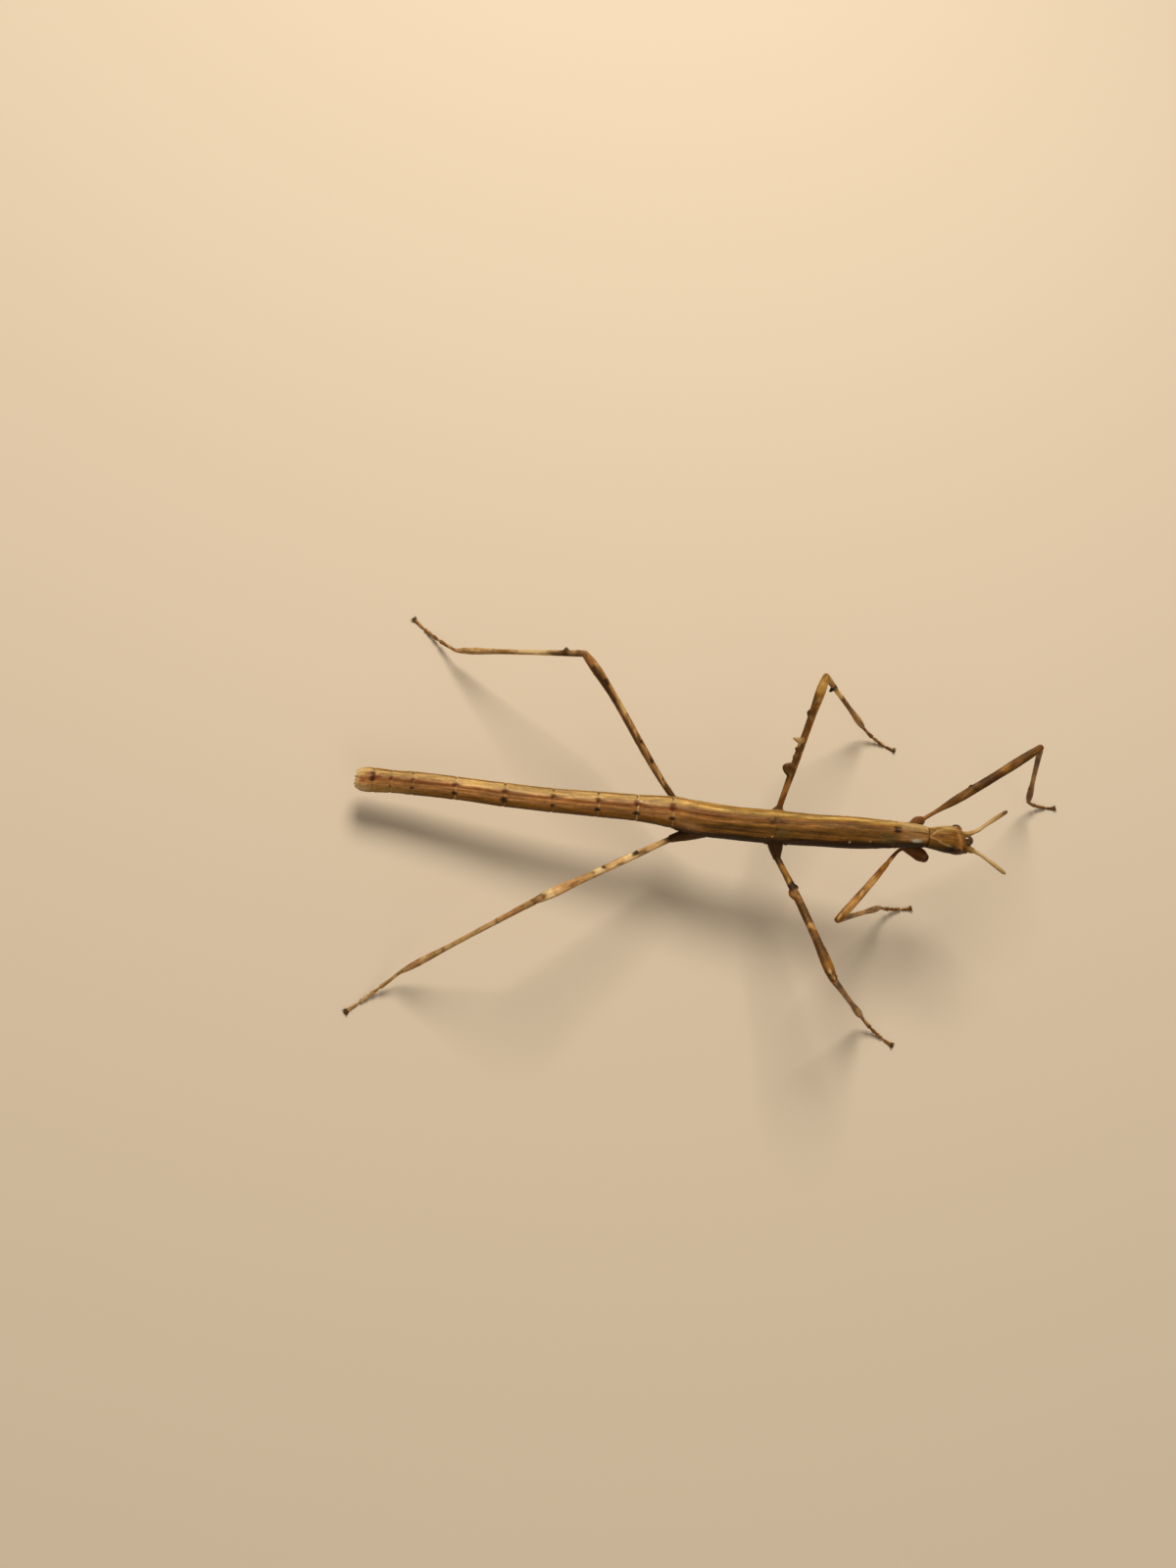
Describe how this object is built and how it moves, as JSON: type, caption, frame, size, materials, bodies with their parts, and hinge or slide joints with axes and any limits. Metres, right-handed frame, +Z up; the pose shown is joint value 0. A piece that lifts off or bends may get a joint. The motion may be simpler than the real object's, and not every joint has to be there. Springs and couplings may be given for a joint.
{
  "type": "stick insect",
  "caption": "Life-size brown stick insect, standing still on slender banded legs, with a long twig-like body, short antennae and small lobes on its legs.",
  "frame": {"origin": "on the floor, under the middle of the whole insect's bounding box", "axes": "+X towards the head, +Y to the insect's left, +Z up"},
  "size_m": [0.0964, 0.0516, 0.0193],
  "materials": {
    "abdomen": "straw and pinkish brown cuticle, finely striped along its length, satin",
    "thorax": "ochre and dark brown cuticle, finely striped along its length, satin",
    "head": "mottled ochre brown cuticle, satin",
    "leg": "brown cuticle banded with cream, satin",
    "antenna": "tan cuticle with a dark tip, satin",
    "eye": "dark brown faceted eye, glossy"
  },
  "bodies": {
    "root": {"abdomen_10": "abdomen", "abdomen_09": "abdomen", "abdomen_08": "abdomen", "abdomen_07": "abdomen", "abdomen_06": "abdomen", "abdomen_05": "abdomen", "abdomen_04": "abdomen", "abdomen_03": "abdomen", "abdomen_02": "abdomen", "median_segment": "thorax", "metathorax": "thorax", "mesothorax": "thorax", "prothorax": "thorax", "eye_left": "eye", "antenna_left": "antenna", "eye_right": "eye", "antenna_right": "antenna", "head": "head", "coxa_fore_left": "leg", "femur_fore_left": "leg", "tibia_fore_left": "leg", "tarsus_fore_left": "leg", "coxa_fore_right": "leg", "femur_fore_right": "leg", "tibia_fore_right": "leg", "tarsus_fore_right": "leg", "coxa_mid_left": "leg", "femur_mid_left": "leg", "tibia_mid_left": "leg", "tarsus_mid_left": "leg", "coxa_mid_right": "leg", "femur_mid_right": "leg", "tibia_mid_right": "leg", "tarsus_mid_right": "leg", "coxa_hind_left": "leg", "femur_hind_left": "leg", "tibia_hind_left": "leg", "tarsus_hind_left": "leg", "coxa_hind_right": "leg", "femur_hind_right": "leg", "tibia_hind_right": "leg", "tarsus_hind_right": "leg"}
  },
  "joints": []
}
